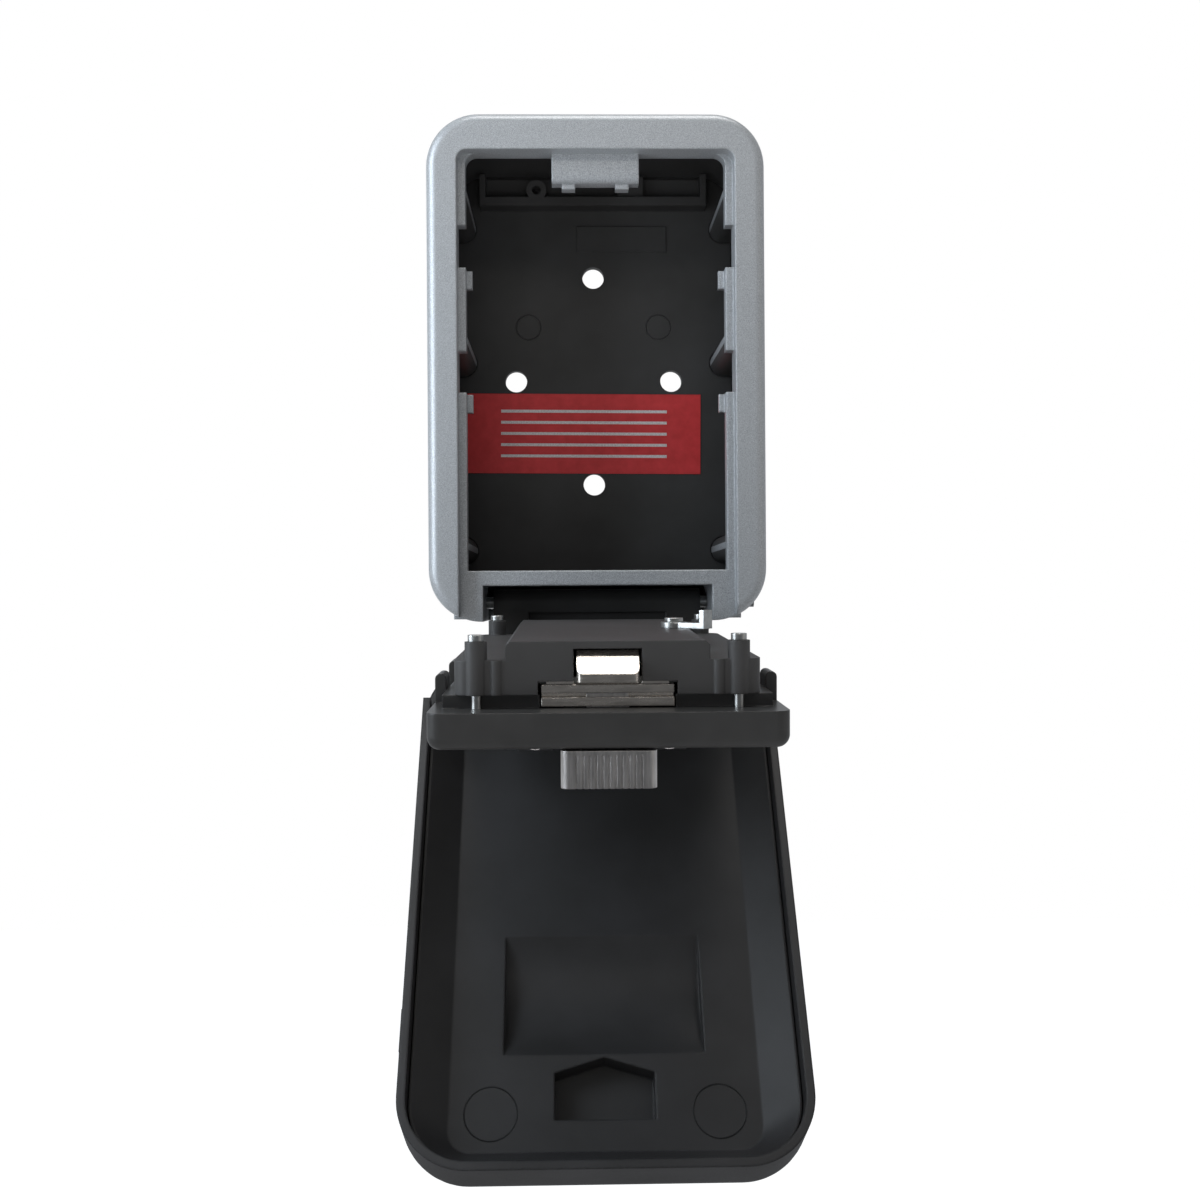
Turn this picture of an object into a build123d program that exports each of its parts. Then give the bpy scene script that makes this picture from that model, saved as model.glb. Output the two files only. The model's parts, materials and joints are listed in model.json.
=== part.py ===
from build123d import *
import os
from math import sqrt

# Wall key safe: a die-cast case on the wall, a drop-down door that carries a four-dial lock,
# and a weather cover hinged to the door's lower end.
# Every piece is drawn closed, as it hangs: x to the right, y up the wall, z out of the wall.
# The origin is on the wall, at the middle of the four fixing holes. At the end the door and the
# cover are swung to the rest pose, open, and the whole safe is turned so that +Z is up.

# Rest pose, in degrees of opening from closed
DOOR_OPEN = 92.0
COVER_OPEN = 51.0

# Clearances
PIN_FIT = 0.04
SCREW_FIT = 0.1
SLIDE_GAP = 0.3
DOOR_GAP = 1.0
SEAT_GAP = 0.05

# Case
CASE_W = 84.0
CASE_H = 126.0
CASE_D = 46.0
CASE_R = 13.0
CASE_WALL = 3.0
CREST_ROUND = 2.6
HOLES_BELOW_TOP = 60.0
TOP = HOLES_BELOW_TOP
BOTTOM = TOP - CASE_H
FRONT_FRAME = 8.0
RECESS_DEPTH = 4.0
RECESS_TOP = 9.2
RECESS_R = 2.8
LAND = CASE_D - RECESS_DEPTH
FRAME_BACK = CASE_D - FRONT_FRAME
STRIP_W = 1.95
STRIP_NOTCHES = ((27.0, 37.6), (58.4, 68.8))
NUB_REACH = 3.35
NUB_H = 4.5
NUB_D = 2.0
BAR_UP = 12.7
BAR_Y = BOTTOM + BAR_UP
BAR_H = 3.7
BAY_W = 57.4
BAY_DEEP = 28.0
BAY_BACK = CASE_D - BAY_DEEP
CHEEK_W = 7.5
STRIKE_W = 21.8
STRIKE_H = 7.2
STRIKE_FOOT_W = 3.4
STRIKE_FOOT_H = 1.3
STRIKE_FOOT_APART = 13.4
STRIKE_ROUND = 1.4
STRIKE_BACK = FRAME_BACK - 0.5
BOSS_R = 3.6
BOSS_INSET = 3.0
BOSS_DROPS = (18.0, 55.0, CASE_H - 19.0)
SCREWED_DROPS = (BOSS_DROPS[0], BOSS_DROPS[2])

# Back plate and what it carries
PLATE_T = 3.0
PLATE_FIT = 0.25
FIX_R = 3.0
FIX_ACROSS = 43.0
FIX_UP = 57.4
PLATE_SCREW_R = 1.4
PLATE_SCREW_HEAD_R = 2.5
PLATE_SCREW_HEAD_H = 1.5
PLATE_SCREW_L = 11.0
PAD_W = 24.8
PAD_H = 7.1
PAD_X = 7.9
PAD_DROP = 20.6
MARK_H = 0.4
HEAD_BOX_DROP = 13.3
HEAD_BOX_W = 62.0
HEAD_BOX_T = 6.0
HEAD_WALL = 1.6
HEAD_POST_R = 2.8
HEAD_HOLE_R = 1.2
HEAD_RIB_W = 7.0
LABEL_W = 64.8
LABEL_H = 22.1
LABEL_T = 0.2
LABEL_X = -2.8
LABEL_DROP = 74.6
LABEL_TILT = 0.5

# Main hinge
HINGE_R = 1.5
HINGE_UP = 4.7
HINGE_DEEP = 19.7
HINGE_OUT = CASE_D - HINGE_DEEP
KNUCKLE_R = 3.4
ARM_W = 53.5
ARM_NECK_W = 43.4
ARM_NECK_AT = LAND - 6.0
ARM_PANEL_W = 35.6
ARM_PANEL_DEEP = 1.5
HINGE_Y = BOTTOM + HINGE_UP

# Door
RIM_W = 7.55
DOOR_W = CASE_W - 2 * RIM_W - 2 * DOOR_GAP
DOOR_PROUD = 3.2
DOOR_FRONT = CASE_D + DOOR_PROUD
DOOR_BACK = LAND + SLIDE_GAP
DOOR_T = DOOR_FRONT - DOOR_BACK
DOOR_R = 2.6
DOOR_ROUND = 2.4
RECESS_W = DOOR_W + 2 * DOOR_GAP
RECESS_TOP_Y = TOP - RECESS_TOP
DOOR_TOP = RECESS_TOP_Y - DOOR_GAP
STEP_T = 2.2
STEP_IN = 2.0
STEP_BACK = LAND - STEP_T
LUG_W = 2.2
LUG_H = 8.0
LUG_IN = 0.1
LUG_ROUND = 1.0
LUG_BACK = LAND - 5.4
DOOR_SKIN = 2.2

# Weather cover
COVER_GAP_SIDE = 0.5
COVER_GAP_TOP = 1.4
COVER_GAP_BOTTOM = 0.3
COVER_WALL = 1.9
COVER_RIM = CASE_D - 6.0
COVER_FRONT = DOOR_FRONT + 11.0
COVER_FACE_R = 9.0
COVER_INNER_CONE = 4.4
LINER_CONE = 4.4
LINER_T = 1.6
FLOOR_AT = DOOR_FRONT + 2.3
FLOOR_W = 68.6
FLOOR_R = 5.0
FLOOR_SHORT = 4.6
BEVEL_RIM = CASE_D - 1.0
DRUM_R = 26.0
DRUM_DEEP = 4.1
DRUM_W = 45.0
COVER_PIVOT_UP = 4.0
COVER_PIN_R = 1.25
EAR_T = 3.8
EAR_R = 3.2
EAR_GAP = 0.3
END_TRIM_H = 14.0
END_TRIM_AT = CASE_D + 2.4
COVER_PIVOT_Y = BOTTOM + COVER_PIVOT_UP
COVER_PIVOT_OUT = DOOR_BACK + DOOR_T / 2

# Dials: each is a thumbwheel on a gated hub
DIALS = 4
DIAL_R = 11.0
DIAL_T = 7.0
DIAL_PITCH = 9.0
DIAL_OUT = DOOR_FRONT - 6.9
DIAL_Y = 21.7
DIAL_SHIFT = -0.7
DIAL_FACETS = 10
DIAL_NOTCH = 1.5
HUB_R = 3.0
FLANGE_R = 5.6
FLANGE_T = 1.2
FLANGE_GAP = 0.2
GATE_W = 3.0
GATE_R = 3.1
SHAFT_R = 1.5
SHAFT_HEAD_R = 2.6
SHAFT_HEAD_T = 1.0
DIAL_GAP = 0.5

# Latch, release lever and fence
LATCH_TRAVEL = 2.6
LATCH_W = 25.0
LATCH_T = 1.6
LATCH_OVERLAP = 2.2
TONGUE_W = 11.7
TONGUE_T = 5.8
TONGUE_R = 1.2
TONGUE_CAM = 4.2
LIP_H = 3.2
LIP_WEB = 1.6
LIP_GAP = 0.8
LEVER_W = 17.8
LEVER_TOP = 48.6
LEVER_PROUD = 7.0
LEVER_SIDE_R = 1.8
LEVER_RIBS = 11
RIB_PITCH = 1.2
RIB_W = 0.4
RIB_DEEP = 0.3
LEVER_BASE_W = 14.0
LEVER_BASE_LOW = 33.0
LEVER_BASE_T = 0.8
POCKET_GAP = 2.2
POCKET_WALL = 1.2
POCKET_SKIN = 0.6
POCKET_TOP = 50.0
POCKET_SHOULDER = 39.8
POCKET_POINT = 36.4
STEM_W = 8.0
STEM_H = 2.6
STEM_DOWN = 1.2
FENCE_T = 1.2
FENCE_H = 3.5
FENCE_LAP = 1.1
SPRING_R = 1.9
SPRING_WALL = 0.5
SPRING_X = 9.0
SPRING_SHELF = 1.0
TAB_T = 1.2
TAB_W = 5.2

# Lock housing on the door's back
HOUSING_W = 57.8
HOUSING_WALL = 1.3
HOUSING_BACK = DIAL_OUT - DIAL_R - SLIDE_GAP - HOUSING_WALL
SHOULDER_T = 6.6
HUMP_W = 38.4
HOUSING_LOW = 23.0
HOUSING_TOP = 43.0
HOUSING_R = 3.0
POST_R = 2.1
POST_X = 24.7
POST_PROUD = 0.9
RIB_POST_R = 1.2
RIB_POST_X = 20.9
HOUSING_SCREW_R = 0.9
HOUSING_SCREW_HEAD_R = 1.5
HOUSING_SCREW_HEAD_H = 1.2
HOUSING_CHAMFER = 0.8
RESET_X = 15.5
RESET_Y = 0.5
RESET_TURN = 50.0
RESET_ARM = 9.0
RESET_R = 2.8
RESET_T = 1.2
RESET_TIP_H = 2.8
RESET_PIN_R = 1.2
DETENT_T = 0.5
DETENT_W = 5.5
DETENT_LOW = 15.5

C_MIN = (Align.CENTER, Align.CENTER, Align.MIN)


def block(w, h, z0, z1, x=0.0, y=0.0):
    """A plain block, w by h, centred on x and y, between two distances from the wall."""
    return Pos(x, y, z0) * Box(w, h, z1 - z0, align=C_MIN)


def block_between(x0, x1, y0, y1, z0, z1):
    """A plain block given by its six sides."""
    return block(x1 - x0, y1 - y0, z0, z1, (x0 + x1) / 2, (y0 + y1) / 2)


def rounded(w, h, r, z0, z1, x=0.0, y=0.0):
    """A block with rounded corners, seen from the front."""
    return extrude(Pos(x, y, z0) * RectangleRounded(w, h, r), z1 - z0)


def disc(r, z0, z1, x=0.0, y=0.0):
    """A round post that stands out from the wall."""
    return Pos(x, y, z0) * Cylinder(r, z1 - z0, align=C_MIN)


def rod(r, x0, x1, y, z):
    """A round bar from left to right."""
    return Pos((x0 + x1) / 2, y, z) * Rot(0, 90, 0) * Cylinder(r, x1 - x0)


def both_sides(shape):
    """The shape and its mirror image about the middle."""
    return shape + mirror(shape, Plane.YZ)


CASE_Y = (TOP + BOTTOM) / 2


def make_case():
    """Die-cast case: rounded rim, sunken land for the door, key space and hinge bay."""
    outer = rounded(CASE_W, CASE_H, CASE_R, 0, CASE_D, y=CASE_Y)
    crest = outer.edges().filter_by_position(Axis.Z, CASE_D, CASE_D)
    case = fillet(crest, CREST_ROUND)
    cavity_w = CASE_W - 2 * CASE_WALL
    cavity_h = CASE_H - 2 * CASE_WALL
    cavity = rounded(cavity_w, cavity_h, CASE_R - CASE_WALL, -1, FRAME_BACK, y=CASE_Y)
    recess = block_between(-RECESS_W / 2, RECESS_W / 2, BOTTOM - 1, RECESS_TOP_Y, LAND, CASE_D + 1)
    recess = fillet(recess.edges().filter_by(Axis.Z).group_by(Axis.Y)[-1], RECESS_R)
    opening_w = RECESS_W - 2 * STRIP_W
    window = block_between(-opening_w / 2, opening_w / 2, BAR_Y, RECESS_TOP_Y, FRAME_BACK - 1, CASE_D)
    window = fillet(window.edges().filter_by(Axis.Z).group_by(Axis.Y)[-1], RECESS_R)
    case = case - cavity - recess - window
    for high, low in STRIP_NOTCHES:
        case -= block_between(-RECESS_W / 2, RECESS_W / 2, TOP - low, TOP - high, FRAME_BACK - 1, CASE_D)
    # A nub heads the middle strip and the lower strip on each side
    for _, low in STRIP_NOTCHES:
        nub = block_between(
            RECESS_W / 2 - NUB_REACH, RECESS_W / 2 + 1, TOP - low - NUB_H, TOP - low, FRAME_BACK - NUB_D, FRAME_BACK
        )
        case += both_sides(nub)
    # The strike hangs from the recess's top edge, for the latch to catch behind
    strike = block_between(
        -STRIKE_W / 2, STRIKE_W / 2, RECESS_TOP_Y - STRIKE_H, RECESS_TOP_Y + 1, STRIKE_BACK, LAND
    )
    front_edge = strike.edges().filter_by(Axis.X).group_by(Axis.Y)[0].sort_by(Axis.Z)[-1]
    strike = fillet(front_edge, STRIKE_ROUND)
    foot = block(
        STRIKE_FOOT_W,
        STRIKE_FOOT_H + 1,
        STRIKE_BACK,
        LAND - STRIKE_ROUND,
        STRIKE_FOOT_APART / 2,
        RECESS_TOP_Y - STRIKE_H - STRIKE_FOOT_H / 2 + 0.5,
    )
    case += strike + both_sides(foot)
    # Shelf over the hinge bay, and a cheek at each end of the bay that holds the hinge pin
    shelf_y0 = BAR_Y - BAR_H
    case += block_between(-cavity_w / 2, cavity_w / 2, shelf_y0, BAR_Y, PLATE_T, LAND)
    cheek_x = BAY_W / 2
    cheek = block_between(cheek_x, cheek_x + CHEEK_W, BOTTOM + 0.6, shelf_y0 + 1, BAY_BACK, FRAME_BACK + 1)
    case += both_sides(cheek)
    case -= block_between(-cheek_x, cheek_x, BOTTOM - 1, shelf_y0, BAY_BACK, CASE_D + 1)
    pin_left = -(cheek_x + CHEEK_W - 1)
    case -= rod(HINGE_R + PIN_FIT, pin_left, CASE_W / 2 + 1, HINGE_Y, HINGE_OUT)
    # Half-round bosses down both side walls take the back plate's screws
    boss_x = cavity_w / 2 - BOSS_INSET
    for drop in BOSS_DROPS:
        boss = disc(BOSS_R, PLATE_T, FRAME_BACK + 1, boss_x, TOP - drop)
        low = TOP - drop - BOSS_R
        boss += block_between(boss_x, cavity_w / 2 + 1, low, low + 2 * BOSS_R, PLATE_T, FRAME_BACK + 1)
        case += both_sides(boss)
    for drop in SCREWED_DROPS:
        pilot = disc(PLATE_SCREW_R + SCREW_FIT, 0, PLATE_T + PLATE_SCREW_L, boss_x, TOP - drop)
        case -= both_sides(pilot)
    # The bosses stop at the recess, which stays clear for the door
    case -= recess
    # The land's lower end is rounded off about the hinge, so that the door's back rolls past it
    roll = block_between(-RECESS_W / 2, RECESS_W / 2, BOTTOM - 1, HINGE_Y, HINGE_OUT, CASE_D)
    roll -= rod(LAND - HINGE_OUT, -CASE_W, CASE_W, HINGE_Y, HINGE_OUT)
    return case - roll


def make_back_plate():
    """Black moulded plate that closes the case's back and goes against the wall."""
    gap = CASE_WALL + PLATE_FIT
    plate = rounded(CASE_W - 2 * gap, CASE_H - 2 * gap, CASE_R - gap, 0, PLATE_T - PLATE_FIT, y=CASE_Y)
    inner_w = CASE_W - 2 * gap
    boss_x = CASE_W / 2 - CASE_WALL - BOSS_INSET
    # Tray face between the bosses, with the moulding's own marks
    tray_top = TOP - gap - 0.5
    face_h = tray_top - BAR_Y - PLATE_FIT
    face = block(inner_w - 1, face_h, PLATE_T - PLATE_FIT, PLATE_T, 0, tray_top - face_h / 2)
    face = fillet(face.edges().filter_by(Axis.Z).group_by(Axis.Y)[-1], CASE_R - gap - 1)
    plate += face
    marks = Pos(PAD_X, TOP - PAD_DROP, PLATE_T) * Box(PAD_W, PAD_H, MARK_H, align=C_MIN)
    # Head box across the top of the tray: a ledge with a pocket, a screw boss and two columns
    head_h = tray_top - (TOP - HEAD_BOX_DROP)
    head_y = tray_top - head_h / 2
    head = block(HEAD_BOX_W, head_h - 1, PLATE_T, PLATE_T + HEAD_BOX_T, 0, head_y)
    pocket_h = head_h - 1 - HEAD_WALL
    head_back = PLATE_T + HEAD_BOX_T
    head -= block(HEAD_BOX_W - 2 * HEAD_WALL, pocket_h, PLATE_T + 1, head_back + 1, 0, head_y + HEAD_WALL)
    head += disc(HEAD_POST_R, PLATE_T, head_back, -HEAD_BOX_W / 4, head_y)
    head -= disc(HEAD_HOLE_R, PLATE_T + 2, head_back + 1, -HEAD_BOX_W / 4, head_y)
    head += block(HEAD_RIB_W, head_h - 1, PLATE_T, head_back - 2, HEAD_BOX_W / 6, head_y)
    plate += marks + head
    clear_r = BOSS_R + PLATE_FIT
    face_back = PLATE_T - PLATE_FIT
    for drop in BOSS_DROPS:
        y = TOP - drop
        clear = disc(clear_r, face_back, head_back + 1, boss_x, y)
        clear += block_between(boss_x, inner_w, y - clear_r, y + clear_r, face_back, PLATE_T + 1)
        plate -= both_sides(clear)
    for drop in SCREWED_DROPS:
        hole = disc(PLATE_SCREW_R + SCREW_FIT, -1, PLATE_T, boss_x, TOP - drop)
        sink = disc(PLATE_SCREW_HEAD_R + 0.2, -1, PLATE_SCREW_HEAD_H, boss_x, TOP - drop)
        plate -= both_sides(hole) + both_sides(sink)
    # Fixing holes: two across and two up, about the origin
    for x, y in ((FIX_ACROSS / 2, 0), (-FIX_ACROSS / 2, 0), (0, FIX_UP / 2), (0, -FIX_UP / 2)):
        plate -= disc(FIX_R, -1, PLATE_T + 1, x, y)
    return plate


def make_plate_screws():
    """Four screws that hold the back plate from behind, their heads sunk in it."""
    boss_x = CASE_W / 2 - CASE_WALL - BOSS_INSET
    screws = []
    for drop in SCREWED_DROPS:
        for x in (-boss_x, boss_x):
            head = disc(PLATE_SCREW_HEAD_R, 2 * SEAT_GAP, PLATE_SCREW_HEAD_H, x, TOP - drop)
            screws.append(head + disc(PLATE_SCREW_R, PLATE_SCREW_HEAD_H - 1, PLATE_SCREW_L, x, TOP - drop))
    return Compound(screws)


def make_label():
    """Plain printed label on the tray face."""
    label = Rot(0, 0, -LABEL_TILT) * Box(LABEL_W, LABEL_H, LABEL_T, align=C_MIN)
    return Pos(LABEL_X, TOP - LABEL_DROP, PLATE_T) * label


def make_hinge_pin():
    """Steel pin across the hinge bay, pushed in from the right-hand side."""
    left = -(BAY_W / 2 + CHEEK_W - 1) + SLIDE_GAP
    return rod(HINGE_R, left, CASE_W / 2 - 1.0, HINGE_Y, HINGE_OUT)


def make_door():
    """Door moulding: front slab, stepped back, side lugs and the arm that turns on the hinge pin."""
    slab_low = COVER_PIVOT_Y
    slab = block_between(-DOOR_W / 2, DOOR_W / 2, slab_low, DOOR_TOP, DOOR_BACK, DOOR_FRONT)
    slab = fillet(slab.edges().filter_by(Axis.Z).group_by(Axis.Y)[-1], DOOR_R)
    rim = slab.edges().filter_by_position(Axis.Z, DOOR_FRONT, DOOR_FRONT)
    slab = fillet(rim.filter_by(lambda e: e.center().Y > slab_low + 0.1), DOOR_ROUND)
    slab += rod(DOOR_T / 2, -DOOR_W / 2, DOOR_W / 2, COVER_PIVOT_Y, COVER_PIVOT_OUT)
    # Stepped back that fills the window in the case, open at the top for the strike
    step_w = RECESS_W - 2 * STRIP_W - 2 * SLIDE_GAP - 2 * (STEP_IN - STRIP_W / 2)
    step_top = STRIKE_LOW - DOOR_GAP
    # Its lower corner swings clear of the bar's front edge
    swing_r = sqrt((BAR_Y - HINGE_Y) ** 2 + (LAND - HINGE_OUT) ** 2) + SLIDE_GAP
    step_low = HINGE_Y + sqrt(swing_r**2 - (STEP_BACK - HINGE_OUT) ** 2)
    door = slab + block_between(-step_w / 2, step_w / 2, step_low, step_top, STEP_BACK, DOOR_BACK + 1)
    for high, low in STRIP_NOTCHES:
        lug_y = TOP - (high + low) / 2
        lug_x = DOOR_W / 2 - LUG_IN - LUG_W / 2
        lug = block(LUG_W, LUG_H, LUG_BACK, DOOR_BACK + 1, lug_x, lug_y)
        lug = fillet(lug.edges().filter_by(Axis.Y).group_by(Axis.Z)[0], LUG_ROUND)
        door += both_sides(lug)
    # Arm back to the hinge pin: wide at the knuckle, narrower where it meets the slab
    arm = rod(KNUCKLE_R, -ARM_W / 2, ARM_W / 2, HINGE_Y, HINGE_OUT)
    arm += block_between(-ARM_W / 2, ARM_W / 2, HINGE_Y - KNUCKLE_R, HINGE_Y + KNUCKLE_R, HINGE_OUT, ARM_NECK_AT)
    arm += block_between(
        -ARM_NECK_W / 2, ARM_NECK_W / 2, HINGE_Y - KNUCKLE_R, HINGE_Y + KNUCKLE_R, HINGE_OUT, DOOR_BACK + 1
    )
    arm -= block_between(
        -ARM_PANEL_W / 2,
        ARM_PANEL_W / 2,
        HINGE_Y + KNUCKLE_R - ARM_PANEL_DEEP,
        HINGE_Y + KNUCKLE_R + 1,
        HINGE_OUT + HINGE_R + 1,
        DOOR_BACK - 1.2,
    )
    door += arm
    door -= rod(HINGE_R + PIN_FIT, -ARM_W, ARM_W, HINGE_Y, HINGE_OUT)
    # Lower corners are cut away for the cover's ears, and the cover's pin goes through
    ear_in = DOOR_W / 2 - EAR_T - 2 * EAR_GAP
    corner = block_between(
        ear_in, DOOR_W, BOTTOM - 2, COVER_PIVOT_Y + EAR_R + 1.0, DOOR_BACK - 0.1, DOOR_FRONT + 1
    )
    door -= both_sides(corner)
    door -= rod(COVER_PIN_R + PIN_FIT, -DOOR_W, DOOR_W, COVER_PIVOT_Y, COVER_PIVOT_OUT)
    # Dial pocket from behind, and a window in the front skin for each dial
    pocket_w = dial_x(DIALS - 1) + DIAL_T / 2 + FLANGE_T + DIAL_GAP - (dial_x(0) - DIAL_T / 2 - DIAL_GAP)
    pocket_x = dial_x(0) - DIAL_T / 2 - DIAL_GAP + pocket_w / 2
    skin_back = DOOR_FRONT - DOOR_SKIN
    door -= block_between(
        pocket_x - pocket_w / 2,
        pocket_x + pocket_w / 2,
        DIAL_Y - DIAL_R - DIAL_GAP,
        FINGER_TOP + SLIDE_GAP,
        STEP_BACK - 1,
        skin_back,
    )
    window_h = 2 * (sqrt(DIAL_R**2 - (skin_back - DIAL_OUT) ** 2) + DIAL_GAP)
    for i in range(DIALS):
        door -= block(DIAL_T + 2 * DIAL_GAP, window_h, skin_back - 1, DOOR_FRONT + 1, dial_x(i), DIAL_Y)
        flange_x = dial_x(i) + DIAL_T / 2 + FLANGE_GAP + FLANGE_T / 2
        flange_room = FLANGE_R + SLIDE_GAP
        door -= block(
            FLANGE_T + 2 * FLANGE_GAP, 2 * flange_room, skin_back - 1, DIAL_OUT + flange_room, flange_x, DIAL_Y
        )
    door -= rod(SHAFT_R + PIN_FIT, pocket_x - pocket_w, pocket_x + pocket_w, DIAL_Y, DIAL_OUT)
    shaft_end = pocket_w / 2 + 2.5
    for side in (-1, 1):
        head_x = pocket_x + side * (shaft_end + 2.0)
        door -= block_between(
            head_x - 2.0, head_x + 2.0, DIAL_Y - SHAFT_HEAD_R - 0.5, DIAL_Y + SHAFT_HEAD_R + 0.5,
            STEP_BACK - 1, DIAL_OUT + SHAFT_HEAD_R + 0.5,
        )
    # The shaft drops in from behind through a slot at each end of the pocket
    door -= block_between(
        pocket_x - shaft_end, pocket_x + shaft_end, DIAL_Y - SHAFT_R - PIN_FIT, DIAL_Y + SHAFT_R + PIN_FIT,
        STEP_BACK - 1, DIAL_OUT,
    )
    # Room at the step's top end for the latch's folded lip, down to the end of its travel
    lip_low = LATCH_TOP - LIP_H - LATCH_TRAVEL - SLIDE_GAP
    lip_x = LATCH_W / 2 + SLIDE_GAP
    door -= block_between(-lip_x, lip_x, lip_low, step_top + 1, STEP_BACK - 1, DOOR_BACK)
    # Slot for the release lever's stem, long enough for its travel
    stem_high = STEM_Y + STEM_H / 2 + SLIDE_GAP
    stem_low = STEM_Y - STEM_H / 2 - LATCH_TRAVEL - SLIDE_GAP
    door -= block_between(
        -STEM_W / 2 - SLIDE_GAP, STEM_W / 2 + SLIDE_GAP, stem_low, stem_high, STEP_BACK - 1, DOOR_FRONT + 1
    )
    # Pilot holes for the lock housing's screws
    for x, y in housing_posts():
        door -= disc(HOUSING_SCREW_R + SCREW_FIT, STEP_BACK - 1, STEP_BACK + 5, x, y)
    return door


def dial_x(i):
    """Middle of dial i along the shaft."""
    return DIAL_SHIFT + (i - (DIALS - 1) / 2) * DIAL_PITCH


def housing_posts():
    """Centres of the lock housing's four corner posts."""
    low = HINGE_Y + HOUSING_LOW + POST_R
    high = HOUSING_TOP - POST_R + POST_PROUD
    return [(-POST_X, low), (POST_X, low), (-POST_X, high), (POST_X, high)]


def make_dial(i):
    """Thumbwheel with ten flats and a groove at each corner between them, bored for its hub."""
    profile = RegularPolygon(DIAL_R, DIAL_FACETS)
    for k in range(DIAL_FACETS):
        notch = Pos(DIAL_R, 0) * Rot(0, 0, 45) * Rectangle(DIAL_NOTCH, DIAL_NOTCH)
        profile -= Rot(0, 0, 360 / DIAL_FACETS * k) * notch
    profile -= Circle(HUB_R + PIN_FIT)
    wheel = extrude(profile, DIAL_T / 2, both=True)
    return Pos(dial_x(i), DIAL_Y, DIAL_OUT) * Rot(0, 90, 0) * wheel


def make_hub(i):
    """Code hub: a sleeve inside the dial and a flange beside it with a gate on each side."""
    x0 = dial_x(i) - DIAL_T / 2
    x1 = dial_x(i) + DIAL_T / 2
    hub = rod(HUB_R, x0, x1 + FLANGE_GAP, DIAL_Y, DIAL_OUT)
    hub += rod(FLANGE_R, x1 + FLANGE_GAP, x1 + FLANGE_GAP + FLANGE_T, DIAL_Y, DIAL_OUT)
    hub -= rod(SHAFT_R + PIN_FIT, x0 - 1, x1 + FLANGE_T + 2, DIAL_Y, DIAL_OUT)
    gate_h = FLANGE_R + 1 - GATE_R
    for side in (-1, 1):
        gate_y = DIAL_Y + side * (GATE_R + gate_h / 2)
        gate_x = x1 + FLANGE_GAP / 2 + FLANGE_T
        hub -= block(2 * FLANGE_T, gate_h, DIAL_OUT - GATE_W / 2, DIAL_OUT + GATE_W / 2, gate_x, gate_y)
    return hub


def make_shaft():
    """Dial shaft with a head at each end."""
    left = dial_x(0) - DIAL_T / 2 - DIAL_GAP - 2.5 - SLIDE_GAP
    right = dial_x(DIALS - 1) + DIAL_T / 2 + FLANGE_T + DIAL_GAP + 2.5 + SLIDE_GAP
    shaft = rod(SHAFT_R, left, right, DIAL_Y, DIAL_OUT)
    shaft += rod(SHAFT_HEAD_R, left - SHAFT_HEAD_T, left, DIAL_Y, DIAL_OUT)
    shaft += rod(SHAFT_HEAD_R, right, right + SHAFT_HEAD_T, DIAL_Y, DIAL_OUT)
    return shaft


def make_detent():
    """Leaf spring with a finger under each dial, held under the step by its foot."""
    top = DIAL_Y - DIAL_R - DIAL_GAP
    front = STEP_BACK - SEAT_GAP
    back = front - DETENT_T
    foot_w = (DIALS - 1) * DIAL_PITCH + DETENT_W
    spring = block(foot_w, DETENT_W, back, front, DIAL_SHIFT, top - DETENT_LOW + DETENT_W / 2)
    for i in range(DIALS):
        spring += block(DETENT_W, DETENT_LOW, back, front, dial_x(i), top - DETENT_LOW / 2)
    return spring


STRIKE_LOW = RECESS_TOP_Y - STRIKE_H - STRIKE_FOOT_H
LATCH_TOP = STRIKE_LOW - SLIDE_GAP
LATCH_FRONT = STEP_BACK - SLIDE_GAP
LATCH_BACK = LATCH_FRONT - LATCH_T
FENCE_LOW = DIAL_Y + DIAL_R + LATCH_TRAVEL - 0.2
FINGER_TOP = FENCE_LOW + FENCE_LAP
LATCH_LOW = FINGER_TOP + SLIDE_GAP
STEM_Y = LATCH_TOP - STEM_DOWN - STEM_H / 2
SHELF_TOP = DIAL_Y + DIAL_R + SLIDE_GAP + SPRING_SHELF
TAB_LOW = LATCH_TOP - 0.4 - TAB_T
SPRING_OUT = HOUSING_BACK + HOUSING_WALL + SLIDE_GAP + SPRING_R + SPRING_WALL
TONGUE_TOP = RECESS_TOP_Y - STRIKE_H + LATCH_OVERLAP
TONGUE_FRONT = STRIKE_BACK - SLIDE_GAP
TONGUE_BACK = TONGUE_FRONT - TONGUE_T


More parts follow.
